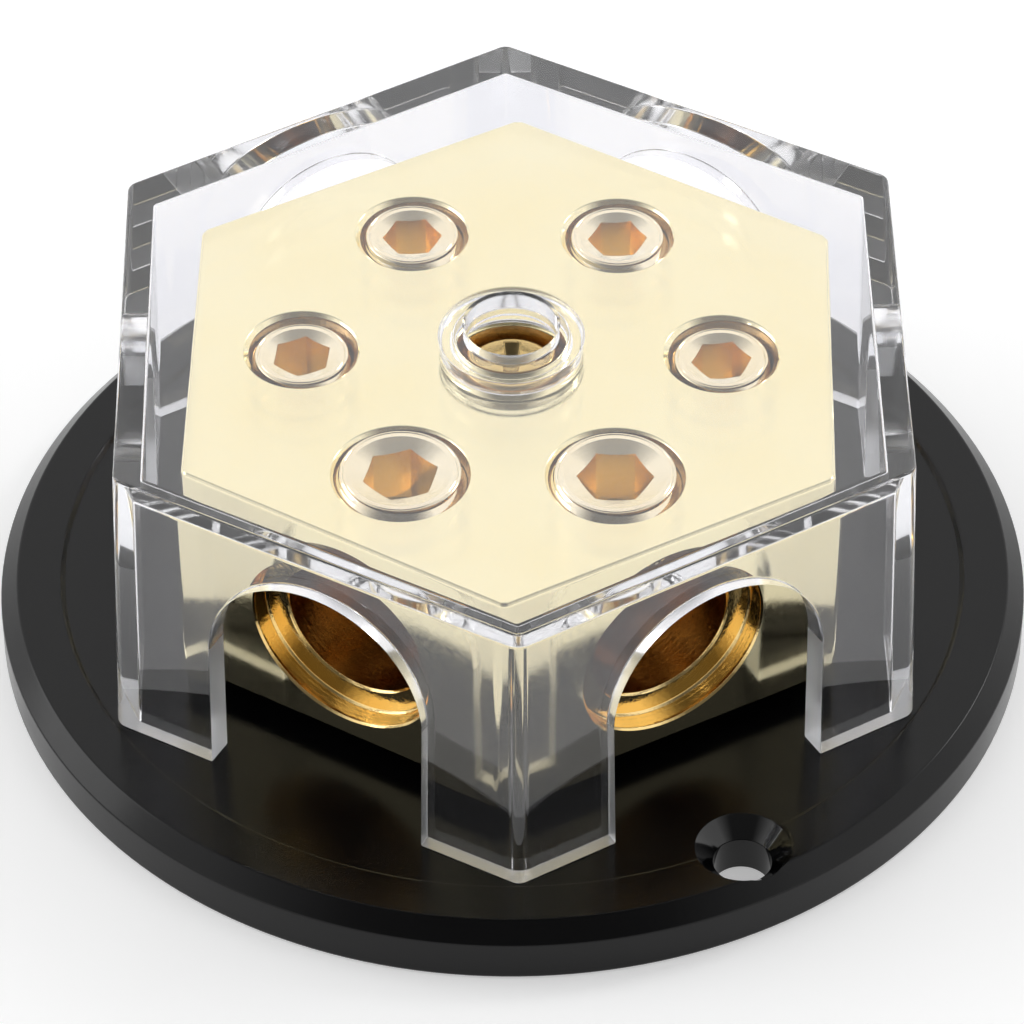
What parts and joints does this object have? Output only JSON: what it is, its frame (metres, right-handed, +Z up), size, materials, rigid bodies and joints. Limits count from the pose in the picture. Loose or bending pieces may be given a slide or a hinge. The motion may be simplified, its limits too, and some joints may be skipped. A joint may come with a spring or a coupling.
{
  "type": "power distribution block",
  "caption": "Round black base with a hexagonal gold-plated brass block, cable ports in its sides clamped by set screws, under a clear hexagonal cover with an arch over each cable.",
  "frame": {"origin": "middle of the base's underside, on the surface that it stands on", "axes": "+Z up, along the middle screw; the two heavy ports face the front, -Y, at 240 and 300 degrees; +X to the right"},
  "size_m": [0.08, 0.08, 0.0293],
  "materials": {
    "black_plastic": "satin black, with faint turning marks",
    "plain_brass": "plain machined brass",
    "gold_plate": "polished gold plate over brass",
    "gold_plated_screw": "bright gold plate",
    "clear_plastic": "clear, glossy, injection moulded"
  },
  "bodies": {
    "block_on_base": {"base": "black_plastic", "base_insert": "plain_brass", "block": "gold_plate", "block_screw": "gold_plated_screw"},
    "set_screw_1": {"set_screw_1": "gold_plated_screw"},
    "set_screw_2": {"set_screw_2": "gold_plated_screw"},
    "set_screw_3": {"set_screw_3": "gold_plated_screw"},
    "set_screw_4": {"set_screw_4": "gold_plated_screw"},
    "set_screw_5": {"set_screw_5": "gold_plated_screw"},
    "set_screw_6": {"set_screw_6": "gold_plated_screw"},
    "cover": {"cover": "clear_plastic"}
  },
  "joints": [
    {"name": "screw_1_travel", "type": "slide", "parent": "block_on_base", "child": "set_screw_1", "axis": [0, 0, 1], "range_m": [-0.0026, 0.0012]},
    {"name": "screw_2_travel", "type": "slide", "parent": "block_on_base", "child": "set_screw_2", "axis": [0, 0, 1], "range_m": [-0.0026, 0.0012]},
    {"name": "screw_3_travel", "type": "slide", "parent": "block_on_base", "child": "set_screw_3", "axis": [0, 0, 1], "range_m": [-0.0036, 0.0012]},
    {"name": "screw_4_travel", "type": "slide", "parent": "block_on_base", "child": "set_screw_4", "axis": [0, 0, 1], "range_m": [-0.0036, 0.0012]},
    {"name": "screw_5_travel", "type": "slide", "parent": "block_on_base", "child": "set_screw_5", "axis": [0, 0, 1], "range_m": [-0.0036, 0.0012]},
    {"name": "screw_6_travel", "type": "slide", "parent": "block_on_base", "child": "set_screw_6", "axis": [0, 0, 1], "range_m": [-0.0036, 0.0012]},
    {"name": "cover_lift", "type": "slide", "parent": "block_on_base", "child": "cover", "axis": [0, 0, 1], "range_m": [0, 0.03]}
  ]
}
